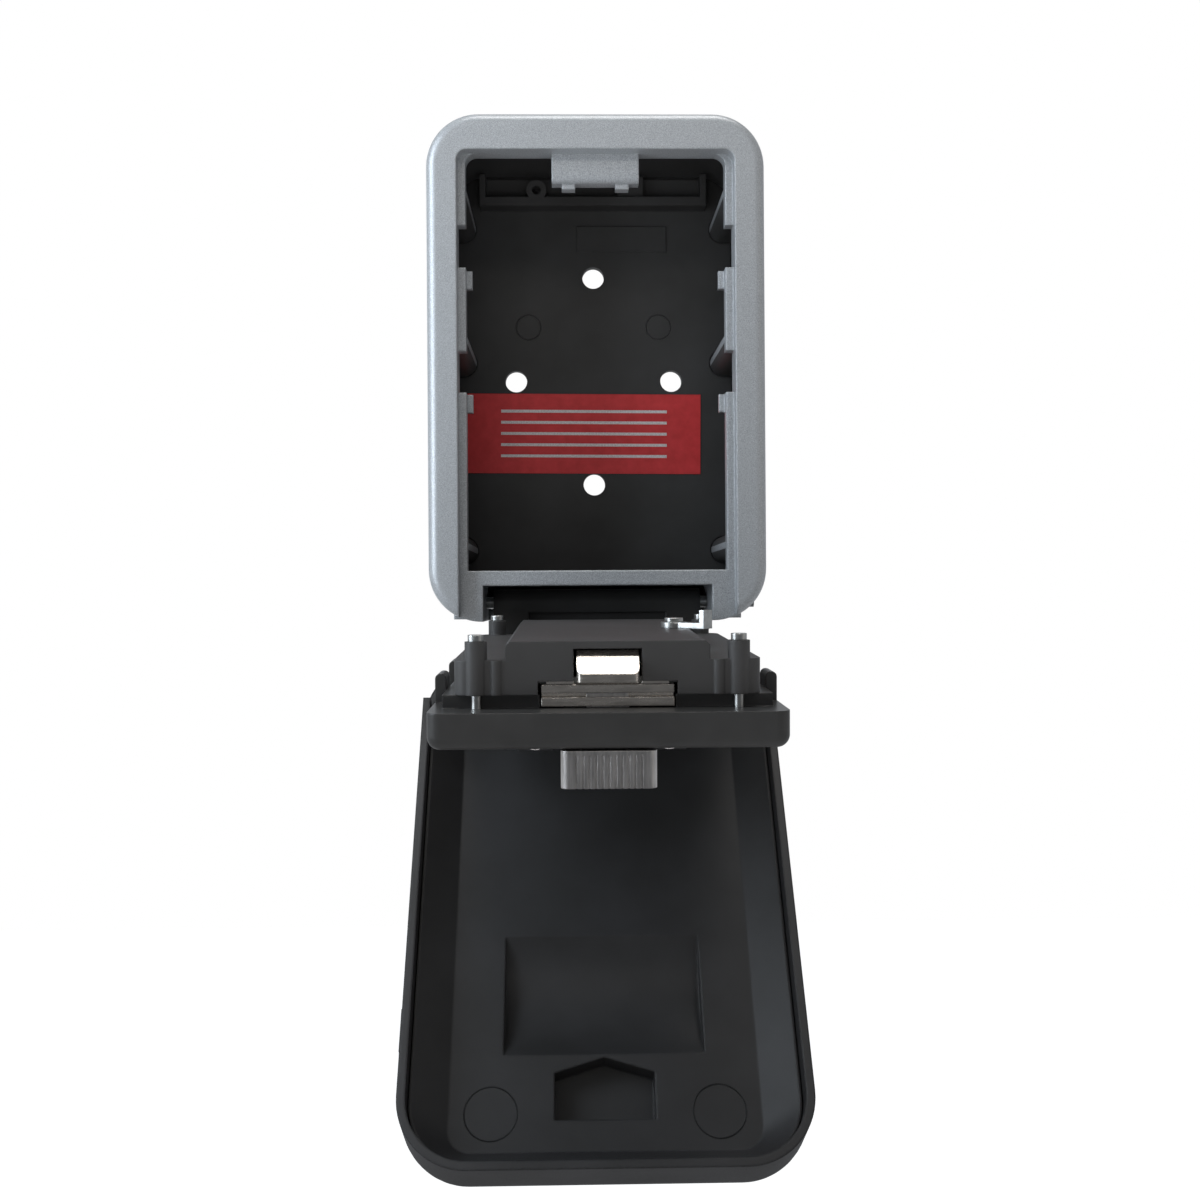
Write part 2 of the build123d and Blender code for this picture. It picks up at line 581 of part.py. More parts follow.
def make_latch():
    """Latch plate with a folded lip: it slides behind the step and its tongue catches behind the strike."""
    plate = block_between(-LATCH_W / 2, LATCH_W / 2, LATCH_LOW, LATCH_TOP, LATCH_BACK, LATCH_FRONT)
    tongue_low = FENCE_LOW + FENCE_H + SLIDE_GAP
    tongue = block_between(-TONGUE_W / 2, TONGUE_W / 2, tongue_low, TONGUE_TOP, TONGUE_BACK, TONGUE_FRONT)
    neck_top = LATCH_TOP - STEM_DOWN
    neck = block_between(-TONGUE_W / 2, TONGUE_W / 2, tongue_low, neck_top, TONGUE_FRONT - 1, LATCH_BACK + 0.5)
    cam = tongue.edges().filter_by(Axis.X).group_by(Axis.Y)[-1].sort_by(Axis.Z)[0]
    tongue = chamfer(cam, TONGUE_CAM)
    tongue = fillet(tongue.edges().filter_by(Axis.Z).group_by(Axis.Y)[-1], TONGUE_R)
    # Lip: the plate's top end is folded forwards and up, with a hole for the lever's stem
    lip_back = LATCH_FRONT + LIP_GAP
    lip_front = DOOR_BACK - SLIDE_GAP
    lip_low = LATCH_TOP - LIP_H
    lip = block_between(-LATCH_W / 2, LATCH_W / 2, lip_low, LATCH_TOP, lip_back, lip_front)
    lip += block_between(-LATCH_W / 2, LATCH_W / 2, lip_low, lip_low + LIP_WEB, LATCH_FRONT, lip_back)
    stem_hole = block(STEM_W + 2 * SEAT_GAP, STEM_H + 2 * SEAT_GAP, LATCH_FRONT, lip_front + 1, 0, STEM_Y)
    # Spring tabs, bent back at the plate's sides
    tab_back = HOUSING_BACK + HOUSING_WALL + 2 * SLIDE_GAP
    tab = block(TAB_W, TAB_T, tab_back, LATCH_BACK + 0.5, SPRING_X, TAB_LOW + TAB_T / 2)
    return plate + tongue + neck + both_sides(tab) + (lip - stem_hole)


def make_fence():
    """Fence plate behind the latch: one hooked finger for each hub's gate."""
    back = LATCH_BACK - FENCE_T
    x_left = dial_x(0)
    x_right = dial_x(DIALS - 1) + DIAL_T / 2 + FLANGE_GAP + FLANGE_T
    fence = block_between(x_left, x_right, FENCE_LOW, FENCE_LOW + FENCE_H, back, LATCH_BACK)
    tip_low = DIAL_Y + FLANGE_R + SLIDE_GAP
    arm_low = tip_low + LATCH_TRAVEL
    tip_back = DIAL_OUT - GATE_W / 2 + SLIDE_GAP
    tip_front = DIAL_OUT + GATE_W / 2 - SLIDE_GAP
    for i in range(DIALS):
        x0 = dial_x(i) + DIAL_T / 2 + FLANGE_GAP
        fence += block_between(x0, x0 + FLANGE_T, arm_low, FINGER_TOP, back, tip_front)
        fence += block_between(x0, x0 + FLANGE_T, tip_low, arm_low + 1, tip_back, tip_front)
    return fence


def arrow_outline(half, shoulder, point, high):
    """Five-sided outline with a flat top and its point down."""
    return make_face(Polyline([(-half, high), (-half, shoulder), (0, point), (half, shoulder), (half, high)], close=True))


def make_lever():
    """Ribbed release lever on the door's front, with a stem through the door to the latch plate."""
    back = DOOR_FRONT + SLIDE_GAP
    front = back + LEVER_PROUD
    # It clears its pocket in the cover at both ends of its travel
    rise = LATCH_TRAVEL + DIAL_GAP + SLIDE_GAP
    outline = arrow_outline(LEVER_W / 2, POCKET_SHOULDER + rise, POCKET_POINT + rise, LEVER_TOP)
    lever = extrude(Pos(0, 0, back) * outline, LEVER_PROUD)
    lever = fillet(lever.edges().filter_by(Axis.Z).group_by(Axis.Y)[-1], LEVER_SIDE_R)
    for k in range(LEVER_RIBS):
        rib_x = (k - (LEVER_RIBS - 1) / 2) * RIB_PITCH
        lever -= block(RIB_W, 2 * RIB_DEEP, back + LEVER_BASE_T, front + 1, rib_x, LEVER_TOP)
    base_x = LEVER_BASE_W / 2
    base = block_between(-base_x, base_x, LEVER_BASE_LOW, LEVER_TOP - LEVER_SIDE_R, back, back + LEVER_BASE_T)
    stem = block(STEM_W, STEM_H, LATCH_FRONT, back + LEVER_BASE_T / 2, 0, STEM_Y)
    return lever + base + stem


def make_springs():
    """Sleeves that stand for the two hidden springs that push the latch towards the strike."""
    length = TAB_LOW - SHELF_TOP - 2 * SEAT_GAP
    sleeve = Cylinder(SPRING_R, length) - Cylinder(SPRING_R - SPRING_WALL, length)
    middle = (TAB_LOW + SHELF_TOP) / 2
    sleeves = []
    for x in (-SPRING_X, SPRING_X):
        sleeves.append(Pos(x, middle, SPRING_OUT) * Rot(90, 0, 0) * sleeve)
    return Compound(sleeves)


def make_housing():
    """Black lock housing: shoulders, a hump over the dials and springs, and posts at its corners."""
    low = HINGE_Y + HOUSING_LOW
    height = HOUSING_TOP - low
    mid = low + height / 2
    front = STEP_BACK - SEAT_GAP
    shoulder = front - SHOULDER_T
    body = rounded(HOUSING_W, height, HOUSING_R, shoulder, front, y=mid)
    hump = block(HUMP_W, height, HOUSING_BACK, front, y=mid)
    body += chamfer(hump.edges().filter_by(Axis.Y).group_by(Axis.Z)[0], HOUSING_CHAMFER)
    room_h = height - 2 * HOUSING_WALL
    room_r = HOUSING_R - HOUSING_WALL
    body -= rounded(HOUSING_W - 2 * HOUSING_WALL, room_h, room_r, shoulder + HOUSING_WALL, front + 1, y=mid)
    body -= block(HUMP_W - 2 * HOUSING_WALL, room_h, HOUSING_BACK + HOUSING_WALL, front + 1, y=mid)
    # Half-round ribs on the top end, beside the posts
    for x in (-RIB_POST_X, RIB_POST_X):
        body += disc(RIB_POST_R, shoulder, front, x, HOUSING_TOP - RIB_POST_R / 2)
    for x, y in housing_posts():
        body += disc(POST_R, HOUSING_BACK, front, x, y)
    for x, y in housing_posts():
        body -= disc(HOUSING_SCREW_R + SCREW_FIT, HOUSING_BACK - 1, front + 1, x, y)
    # Ways out at the top end for the tongue, the latch plate and the case's strike
    tongue_x = TONGUE_W / 2 + 2 * SLIDE_GAP
    latch_x = LATCH_W / 2 + 2 * SLIDE_GAP
    top_wall = HOUSING_TOP - 2 * HOUSING_WALL
    body -= block_between(-tongue_x, tongue_x, top_wall, HOUSING_TOP + 1, TONGUE_BACK - SLIDE_GAP, front + 1)
    body -= block_between(-latch_x, latch_x, top_wall, HOUSING_TOP + 1, STRIKE_BACK - SLIDE_GAP, front + 1)
    # Shelves under the latch springs
    for x in (-SPRING_X, SPRING_X):
        shelf_front = SPRING_OUT + SPRING_R
        body += block(TAB_W, SPRING_SHELF, HOUSING_BACK + HOUSING_WALL / 2, shelf_front, x, SHELF_TOP - SPRING_SHELF / 2)
    # Pivot hole of the code reset lever
    body -= disc(RESET_PIN_R + PIN_FIT, HOUSING_BACK - 1, HOUSING_BACK + HOUSING_WALL + 1, RESET_X, RESET_Y)
    return body


def make_housing_screws():
    """Four pan-head screws through the housing's posts into the door."""
    screws = []
    for x, y in housing_posts():
        seat = HOUSING_BACK - SEAT_GAP
        head = disc(HOUSING_SCREW_HEAD_R, seat - HOUSING_SCREW_HEAD_H, seat, x, y)
        screws.append(head + disc(HOUSING_SCREW_R, seat - SEAT_GAP, STEP_BACK + 4.5, x, y))
    return Compound(screws)


def make_reset_lever():
    """Bent steel lever on the housing's back that frees the dials for a new code."""
    z1 = HOUSING_BACK - 0.1
    z0 = z1 - RESET_T
    lever = disc(RESET_R, z0, z1) + block_between(-1.6, 1.6, 0, RESET_ARM, z0, z1)
    lever += block_between(-1.6, 1.6, RESET_ARM - RESET_T, RESET_ARM, z0 - RESET_TIP_H, z1)
    lever -= disc(RESET_PIN_R + PIN_FIT, z0 - 1, z1 + 1)
    return Pos(RESET_X, RESET_Y, 0) * Rot(0, 0, -RESET_TURN) * lever


def make_reset_pin():
    """Headed pivot pin of the reset lever, pressed into the housing."""
    z1 = HOUSING_BACK - 0.1
    z0 = z1 - RESET_T
    pin = disc(RESET_PIN_R, z0 - 0.1, HOUSING_BACK + HOUSING_WALL + 0.8, RESET_X, RESET_Y)
    return pin + disc(2.0, z0 - 0.9, z0 - 0.1, RESET_X, RESET_Y)


COVER_W = CASE_W + 2 * (COVER_GAP_SIDE + COVER_WALL)
COVER_TOP = TOP + COVER_GAP_TOP + COVER_WALL
COVER_LOW = BOTTOM - COVER_GAP_BOTTOM - COVER_WALL
COVER_R = CASE_R + COVER_GAP_SIDE + COVER_WALL
COVER_Y = (COVER_TOP + COVER_LOW) / 2
COVER_H = COVER_TOP - COVER_LOW


def end_trim():
    """What the cover leaves free at its lower end, so that it swings past the case's corners."""
    return block_between(-COVER_W, COVER_W, COVER_LOW - 1, BOTTOM + END_TRIM_H, COVER_RIM - 1, END_TRIM_AT)


def make_cover_shell():
    """Outer shell of the weather cover: a deep tray with a rounded face and grip pads."""
    shell = rounded(COVER_W, COVER_H, COVER_R, COVER_RIM, COVER_FRONT, y=COVER_Y)
    shell = fillet(shell.edges().filter_by_position(Axis.Z, COVER_FRONT, COVER_FRONT), COVER_FACE_R)
    inner = rounded(
        COVER_W - 2 * COVER_WALL, COVER_H - 2 * COVER_WALL, COVER_R - COVER_WALL,
        COVER_RIM - 1, COVER_FRONT - COVER_WALL, y=COVER_Y,
    )
    inner_face = inner.edges().filter_by_position(Axis.Z, COVER_FRONT - COVER_WALL, COVER_FRONT - COVER_WALL)
    inner = chamfer(inner_face, COVER_INNER_CONE)
    pad = block_between(COVER_W / 2 - 1, COVER_W / 2 + 0.4, TOP - 32, TOP - 22, COVER_RIM + 2, COVER_RIM + 9)
    pad = chamfer(pad.edges().group_by(Axis.X)[-1], 0.3)
    return shell + both_sides(pad) - inner - end_trim()


def pocket_outline():
    """Outline of the pocket that clears the release lever, its point towards the dials."""
    return arrow_outline(LEVER_W / 2 + POCKET_GAP, POCKET_SHOULDER, POCKET_POINT, POCKET_TOP)


def make_cover_liner():
    """Inner tray of the cover: bevelled sides, a flat floor, the dials' hollow and the lever's pocket."""
    out_w = COVER_W - 2 * COVER_WALL - 2 * PLATE_FIT
    out_h = COVER_H - 2 * COVER_WALL - 2 * PLATE_FIT
    out_r = COVER_R - COVER_WALL - PLATE_FIT
    floor_back = FLOOR_AT + LINER_T
    liner = rounded(out_w, out_h, out_r, BEVEL_RIM, floor_back, y=COVER_Y)
    back_edge = liner.edges().filter_by_position(Axis.Z, floor_back, floor_back)
    liner = chamfer(back_edge, LINER_CONE)
    # Bevelled hollow: from the floor's outline out to the lip
    floor_top = COVER_TOP - COVER_WALL - FLOOR_SHORT
    floor_low = BOTTOM + 0.1
    floor_y = (floor_top + floor_low) / 2
    lip_w = out_w - 1.0
    lip_h = out_h - 0.6
    floor_face = Pos(0, floor_y, FLOOR_AT) * RectangleRounded(FLOOR_W, floor_top - floor_low, FLOOR_R)
    lip_face = Pos(0, COVER_Y, BEVEL_RIM - 0.01) * RectangleRounded(lip_w, lip_h, out_r - 0.3)
    hollow = loft([floor_face, lip_face], ruled=True)
    # The dials' hollow is a stretch of a drum, bulged out over the dials
    drum_z = FLOOR_AT + DRUM_DEEP - DRUM_R
    bulge = rod(DRUM_R + LINER_T, -DRUM_W / 2 - LINER_T, DRUM_W / 2 + LINER_T, DIAL_Y, drum_z)
    bulge &= block(COVER_W, 2 * DRUM_R, FLOOR_AT + 0.5, COVER_FRONT, 0, DIAL_Y)
    drum = rod(DRUM_R, -DRUM_W / 2, DRUM_W / 2, DIAL_Y, drum_z)
    drum &= block(COVER_W, 2 * DRUM_R, FLOOR_AT - 1, COVER_FRONT, 0, DIAL_Y)
    pocket_back = DOOR_FRONT + SLIDE_GAP + LEVER_PROUD + DIAL_GAP
    outline = pocket_outline()
    box_z = FLOOR_AT + 0.5
    box = extrude(Pos(0, 0, box_z) * offset(outline, POCKET_WALL), pocket_back + POCKET_SKIN - box_z)
    liner += bulge + box
    liner -= hollow
    liner -= drum
    liner -= extrude(Pos(0, 0, FLOOR_AT - 1) * outline, pocket_back - FLOOR_AT + 1)
    liner -= end_trim()
    # Ears that turn on the cover's pin
    ear_x0 = DOOR_W / 2 - EAR_T - EAR_GAP
    ear = rod(EAR_R, ear_x0, ear_x0 + EAR_T, COVER_PIVOT_Y, COVER_PIVOT_OUT)
    ear += block_between(
        ear_x0, ear_x0 + EAR_T, COVER_PIVOT_Y - EAR_R, COVER_PIVOT_Y + EAR_R, COVER_PIVOT_OUT, FLOOR_AT + 0.8
    )
    liner += both_sides(ear)
    return liner - rod(COVER_PIN_R + PIN_FIT, -DOOR_W, DOOR_W, COVER_PIVOT_Y, COVER_PIVOT_OUT)


def make_cover_pin():
    """Steel pin through the door's lower end and the cover's two ears."""
    end = DOOR_W / 2 - EAR_GAP - 0.2
    return rod(COVER_PIN_R, -end, end, COVER_PIVOT_Y, COVER_PIVOT_OUT)


def swung(shape, degrees, y, z):
    """The shape turned outwards and down about a level line at height y, z from the wall."""
    return Pos(0, y, z) * Rot(degrees, 0, 0) * Pos(0, -y, -z) * shape


def open_door(shape):
    return swung(shape, DOOR_OPEN, HINGE_Y, HINGE_OUT)


def open_cover(shape):
    return open_door(swung(shape, COVER_OPEN, COVER_PIVOT_Y, COVER_PIVOT_OUT))


def write(name, shape):
    """Turn the drawing frame into the part's own frame, +Z up, and write one file."""
    export_step(Plane.XZ.location * shape, "parts/" + name + ".step")


os.makedirs("parts", exist_ok=True)

write("case", make_case())
write("back_plate", make_back_plate())
write("back_plate_screws", make_plate_screws())
write("label", make_label())
write("hinge_pin", make_hinge_pin())

write("door", open_door(make_door()))
write("lock_housing", open_door(make_housing()))
write("housing_screws", open_door(make_housing_screws()))
write("dial_shaft", open_door(make_shaft()))
write("detent_spring", open_door(make_detent()))
write("reset_lever", open_door(make_reset_lever()))
write("reset_pin", open_door(make_reset_pin()))
write("cover_pin", open_door(make_cover_pin()))
for n in range(DIALS):
    write("dial_" + str(n + 1), open_door(make_dial(n)))
    write("dial_hub_" + str(n + 1), open_door(make_hub(n)))
write("latch_plate", open_door(make_latch()))
write("fence_plate", open_door(make_fence()))
write("release_lever", open_door(make_lever()))
write("latch_springs", open_door(make_springs()))

write("cover_shell", open_cover(make_cover_shell()))
write("cover_liner", open_cover(make_cover_liner()))
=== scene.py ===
import json
import math

import bpy
from mathutils import Matrix, Vector


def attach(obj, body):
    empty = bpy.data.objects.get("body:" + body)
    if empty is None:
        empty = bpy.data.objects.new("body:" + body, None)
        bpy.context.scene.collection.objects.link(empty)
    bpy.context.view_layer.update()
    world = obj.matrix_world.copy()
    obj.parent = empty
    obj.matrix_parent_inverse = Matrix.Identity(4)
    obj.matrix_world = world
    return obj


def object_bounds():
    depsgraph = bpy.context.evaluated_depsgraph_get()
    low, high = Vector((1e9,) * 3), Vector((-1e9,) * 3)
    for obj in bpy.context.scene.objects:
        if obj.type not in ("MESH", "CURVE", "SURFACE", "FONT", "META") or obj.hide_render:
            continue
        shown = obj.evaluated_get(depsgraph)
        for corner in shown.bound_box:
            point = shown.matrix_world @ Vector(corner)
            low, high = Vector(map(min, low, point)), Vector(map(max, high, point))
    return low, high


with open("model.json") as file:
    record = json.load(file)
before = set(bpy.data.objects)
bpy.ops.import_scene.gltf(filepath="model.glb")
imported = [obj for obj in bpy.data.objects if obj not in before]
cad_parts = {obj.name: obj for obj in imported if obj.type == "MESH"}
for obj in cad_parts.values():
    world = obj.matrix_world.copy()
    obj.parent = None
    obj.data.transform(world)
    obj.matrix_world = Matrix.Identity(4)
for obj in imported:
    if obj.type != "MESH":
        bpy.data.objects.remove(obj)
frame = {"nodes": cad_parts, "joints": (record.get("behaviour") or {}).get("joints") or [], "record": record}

# The looks of an open wall key safe: finishes, small moulded marks, dial numbers, lights and camera.
# Everything is in metres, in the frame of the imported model: +Z up the wall, -Y out of it.

cad_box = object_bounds()
MM = 0.001

# Camera, as solved from the photograph's measured corners
CAMERA_AT = (-6.99 * MM, -391.4 * MM, -60.4 * MM)
CAMERA_YAW = 1.229
CAMERA_PITCH = -0.055
CAMERA_ROLL = -0.368
FOCAL_PX = 1397.8
IMAGE_PX = 1200
SENSOR = 36.0

SQUARE = ((-1, -1), (1, -1), (1, 1), (-1, 1))

# Places on the closed safe, in millimetres: x to the right, up from the origin, out from the wall
HINGE = (-61.3, 26.3)
COVER_PIVOT = (-62.0, 45.75)
DIAL_CENTRE = (21.7, 42.3)
DIAL_R = 11.0
DIAL_FACETS = 10
TRAY_FLOOR = 51.5
PLATE_FACE = 3.0

JOINTS = {j["name"]: j for j in frame["joints"]}
DOOR_OPEN = JOINTS["door_hinge"]["range_deg"][1]
COVER_OPEN = JOINTS["cover_hinge"]["range_deg"][1]


def turned(y, z, centre, degrees):
    """A point on the closed safe swung outwards and down about a level line."""
    a = math.radians(degrees)
    dy, dz = y - centre[0], z - centre[1]
    return centre[0] + dy * math.cos(a) - dz * math.sin(a), centre[1] + dy * math.sin(a) + dz * math.cos(a)


def on_case(x, y, z):
    """A place on the closed safe, in metres in the model's frame."""
    return Vector((x * MM, -z * MM, y * MM))


def on_door(x, y, z):
    """The same, with the door open as it rests."""
    y, z = turned(y, z, HINGE, DOOR_OPEN)
    return on_case(x, y, z)


def on_cover(x, y, z):
    """The same, with the door and the cover open as they rest."""
    y, z = turned(y, z, COVER_PIVOT, COVER_OPEN)
    return on_door(x, y, z)


# Finishes

def new_material(name):
    material = bpy.data.materials.new(name)
    material.use_nodes = True
    nodes = material.node_tree.nodes
    return material, nodes, material.node_tree.links, nodes["Principled BSDF"]


def noise(nodes, links, coords, scale, detail=4.0, rough=0.55):
    """Noise in object space; scale is in cells per metre."""
    node = nodes.new("ShaderNodeTexNoise")
    node.inputs["Scale"].default_value = scale
    node.inputs["Detail"].default_value = detail
    node.inputs["Roughness"].default_value = rough
    links.new(coords.outputs["Object"], node.inputs["Vector"])
    return node


def ramp(nodes, links, source, stops):
    """Colour ramp over a 0 to 1 value; stops are (place, colour)."""
    node = nodes.new("ShaderNodeValToRGB")
    while len(node.color_ramp.elements) < len(stops):
        node.color_ramp.elements.new(0.5)
    for element, (place, colour) in zip(node.color_ramp.elements, stops):
        element.position = place
        element.color = (*colour, 1.0)
    links.new(source, node.inputs["Fac"])
    return node


def spread(nodes, links, source, low, high):
    """Stretches a 0 to 1 value between two limits."""
    node = nodes.new("ShaderNodeMapRange")
    node.inputs["To Min"].default_value = low
    node.inputs["To Max"].default_value = high
    links.new(source, node.inputs["Value"])
    return node.outputs["Result"]


def grain(nodes, links, bsdf, height, distance, strength, edge):
    """Fine surface grain over softened edges."""
    soft = nodes.new("ShaderNodeBevel")
    soft.samples = 4
    soft.inputs["Radius"].default_value = edge
    bump = nodes.new("ShaderNodeBump")
    bump.inputs["Strength"].default_value = strength
    bump.inputs["Distance"].default_value = distance
    links.new(height, bump.inputs["Height"])
    links.new(soft.outputs["Normal"], bump.inputs["Normal"])
    links.new(bump.outputs["Normal"], bsdf.inputs["Normal"])


def powder_coat():
    """Silver powder coat: light and dark flakes in a slightly orange-peeled film."""
    material, nodes, links, bsdf = new_material("silver_powder_coat")
    coords = nodes.new("ShaderNodeTexCoord")
    flakes = noise(nodes, links, coords, 5200, 3.0, 0.75)
    colour = ramp(nodes, links, flakes.outputs["Fac"], [
        (0.32, (0.22, 0.235, 0.25)), (0.50, (0.36, 0.38, 0.40)), (0.70, (0.56, 0.585, 0.61)),
    ])
    peel = noise(nodes, links, coords, 1400, 3.0)
    links.new(colour.outputs["Color"], bsdf.inputs["Base Color"])
    links.new(spread(nodes, links, flakes.outputs["Fac"], 0.5, 0.28), bsdf.inputs["Roughness"])
    bsdf.inputs["Metallic"].default_value = 0.35
    bsdf.inputs["Specular IOR Level"].default_value = 0.6
    grain(nodes, links, bsdf, peel.outputs["Fac"], 0.00006, 0.35, 0.0007)
    return material


def black_plastic(name, dark, light, rough_low, rough_high, cells, depth, edge=0.0004):
    """Moulded black: faint mottling, uneven gloss and a fine spark texture."""
    material, nodes, links, bsdf = new_material(name)
    coords = nodes.new("ShaderNodeTexCoord")
    fine = noise(nodes, links, coords, cells, 4.0, 0.6)
    broad = noise(nodes, links, coords, 60, 3.0)
    colour = ramp(nodes, links, broad.outputs["Fac"], [(0.3, dark), (0.7, light)])
    links.new(colour.outputs["Color"], bsdf.inputs["Base Color"])
    links.new(spread(nodes, links, fine.outputs["Fac"], rough_low, rough_high), bsdf.inputs["Roughness"])
    bsdf.inputs["Specular IOR Level"].default_value = 0.4
    grain(nodes, links, bsdf, fine.outputs["Fac"], depth, 0.4, edge)
    return material


def metal(name, colour, rough_low, rough_high, cells, stretch=(1, 1, 1), edge=0.0003):
    """Bare or plated metal with drawn lines along one direction."""
    material, nodes, links, bsdf = new_material(name)
    coords = nodes.new("ShaderNodeTexCoord")
    mapping = nodes.new("ShaderNodeMapping")
    mapping.inputs["Scale"].default_value = stretch
    links.new(coords.outputs["Object"], mapping.inputs["Vector"])
    lines = nodes.new("ShaderNodeTexNoise")
    lines.inputs["Scale"].default_value = cells
    lines.inputs["Detail"].default_value = 4.0
    links.new(mapping.outputs["Vector"], lines.inputs["Vector"])
    dull = tuple(c * 0.72 for c in colour)
    tone = ramp(nodes, links, lines.outputs["Fac"], [(0.3, dull), (0.65, colour)])
    links.new(tone.outputs["Color"], bsdf.inputs["Base Color"])
    links.new(spread(nodes, links, lines.outputs["Fac"], rough_low, rough_high), bsdf.inputs["Roughness"])
    bsdf.inputs["Metallic"].default_value = 1.0
    grain(nodes, links, bsdf, lines.outputs["Fac"], 0.00002, 0.25, edge)
    return material


def label_film():
    """Red printed film with slight unevenness in ink and gloss."""
    material, nodes, links, bsdf = new_material("red_label_film")
    coords = nodes.new("ShaderNodeTexCoord")
    ink = noise(nodes, links, coords, 350, 5.0)
    colour = ramp(nodes, links, ink.outputs["Fac"], [
        (0.3, (0.56, 0.028, 0.032)), (0.7, (0.68, 0.042, 0.048)),
    ])
    links.new(colour.outputs["Color"], bsdf.inputs["Base Color"])
    links.new(spread(nodes, links, ink.outputs["Fac"], 0.38, 0.5), bsdf.inputs["Roughness"])
    grain(nodes, links, bsdf, ink.outputs["Fac"], 0.00001, 0.2, 0.0001)
    return material


def white_print(name):
    """White ink, a little uneven."""
    material, nodes, links, bsdf = new_material(name)
    coords = nodes.new("ShaderNodeTexCoord")
    ink = noise(nodes, links, coords, 2500, 3.0)
    colour = ramp(nodes, links, ink.outputs["Fac"], [(0.3, (0.55, 0.5, 0.5)), (0.7, (0.78, 0.76, 0.76))])
    links.new(colour.outputs["Color"], bsdf.inputs["Base Color"])
    links.new(spread(nodes, links, ink.outputs["Fac"], 0.45, 0.6), bsdf.inputs["Roughness"])
    return material


FINISHES = {
    "powder_coat": powder_coat(),
    "black_coat": black_plastic(
        "black_door_coat", (0.026, 0.026, 0.026), (0.038, 0.038, 0.038), 0.26, 0.38, 3200, 0.00003),
    "black_moulding": black_plastic(
        "black_moulding", (0.036, 0.036, 0.036), (0.048, 0.048, 0.049), 0.42, 0.6, 4200, 0.00003),
    "cover_moulding": black_plastic(
        "cover_moulding", (0.016, 0.016, 0.0165), (0.023, 0.023, 0.0245), 0.4, 0.6, 2600, 0.00004, 0.0008),
    "red_label": label_film(),
    "steel": metal("zinc_plate", (0.62, 0.63, 0.62), 0.24, 0.42, 900),
    "bright_steel": metal("bright_latch", (0.90, 0.84, 0.77), 0.18, 0.34, 1600, (0.15, 1, 1)),
    "bright_metal": metal("bright_lever", (0.84, 0.81, 0.79), 0.24, 0.42, 1600, (1, 0.15, 0.15)),
    "spring_steel": metal("spring_steel", (0.45, 0.44, 0.42), 0.28, 0.45, 1200),
    "dial_metal": black_plastic(
        "black_dial", (0.012, 0.012, 0.013), (0.022, 0.022, 0.023), 0.3, 0.45, 3600, 0.00002),
    "brass_hub": metal("turned_brass", (0.72, 0.52, 0.22), 0.22, 0.4, 1800, (0.1, 1, 1)),
}
WHITE = white_print("white_ink")


def dress_nodes():
    """Gives every CAD node the finish of its slot."""
    slots = {s["node"]: s["material_slot"] for s in frame["record"]["subparts"]}
    for name, node in frame["nodes"].items():
        node.data.materials.clear()
        node.data.materials.append(FINISHES[slots[name]])


# Bounds of the case's inside that is painted black, in metres: half its width, its heights, and its
# distances from the wall
DARK_INSIDE_X = 0.0391
DARK_INSIDE_UP = (-0.0631, 0.0571)
DARK_INSIDE_FROM = 0.035
DARK_INSIDE_OUT = 0.0381


def line_case():
    """Paints the case's inside walls and bosses with the back plate's black, up to the front frame, so the
    inside reads dark.
    """
    mesh = frame["nodes"]["case"].data
    mesh.materials.append(FINISHES["black_moulding"])
    for face in mesh.polygons:
        corners = [mesh.vertices[v].co for v in face.vertices]
        outs = [-c.y for c in corners]
        ups = [c.z for c in corners]
        across = max(abs(c.x) for c in corners) < DARK_INSIDE_X
        within = DARK_INSIDE_UP[0] < min(ups) and max(ups) < DARK_INSIDE_UP[1]
        if across and within and min(outs) < DARK_INSIDE_FROM and max(outs) < DARK_INSIDE_OUT:
            face.material_index = 1


# Small pieces that the solids leave to the visual model

def mesh_piece(name, vertices, faces, material, body, slot):
    """A mesh object that rides on a body."""
    mesh = bpy.data.meshes.new(name)
    mesh.from_pydata([tuple(v) for v in vertices], [], faces)
    mesh.update()
    mesh.materials.append(material)
    piece = bpy.data.objects.new(name, mesh)
    bpy.context.scene.collection.objects.link(piece)
    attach(piece, body)
    return piece


def prism(place, outline, z0, z1):
    """Vertices and faces of an outline pushed from z0 to z1, put in place by the given function."""
    n = len(outline)
    vertices = [place(x, y, z0) for x, y in outline] + [place(x, y, z1) for x, y in outline]
    sides = [(i, (i + 1) % n, n + (i + 1) % n, n + i) for i in range(n)]
    return vertices, [tuple(reversed(range(n))), tuple(range(n, 2 * n))] + sides


def ring(place, x, y, z, radius, half_width, height, steps=64):
    """Vertices and faces of a low raised ring with a rounded top, on a face at distance z."""
    section = [(-half_width, -0.1 * height), (-0.6 * half_width, 0.8 * height), (0, height),
               (0.6 * half_width, 0.8 * height), (half_width, -0.1 * height)]
    m = len(section)
    vertices = []
    for i in range(steps):
        a = 2 * math.pi * i / steps
        for dr, dz in section:
            vertices.append(place(x + (radius + dr) * math.cos(a), y + (radius + dr) * math.sin(a), z + dz))
    faces = []
    for i in range(steps):
        j = (i + 1) % steps
        for k in range(m):
            q = (k + 1) % m
            faces.append((i * m + k, j * m + k, j * m + q, i * m + q))
    return vertices, faces


def join(parts):
    """Several vertex and face lists as one."""
    vertices, faces = [], []
    for part_vertices, part_faces in parts:
        base = len(vertices)
        vertices += part_vertices
        faces += [tuple(base + i for i in face) for face in part_faces]
    return vertices, faces


LABEL_AT = (-2.8, -14.6)
LABEL_TILT = -0.5
RULE_COUNT = 5
RULE_L = 46.0
RULE_H = 0.8
RULE_PITCH = 3.1
RULE_RISE = 0.03
RULE_SINK = 0.02
LABEL_T = 0.2
LABEL_FACE = PLATE_FACE + LABEL_T


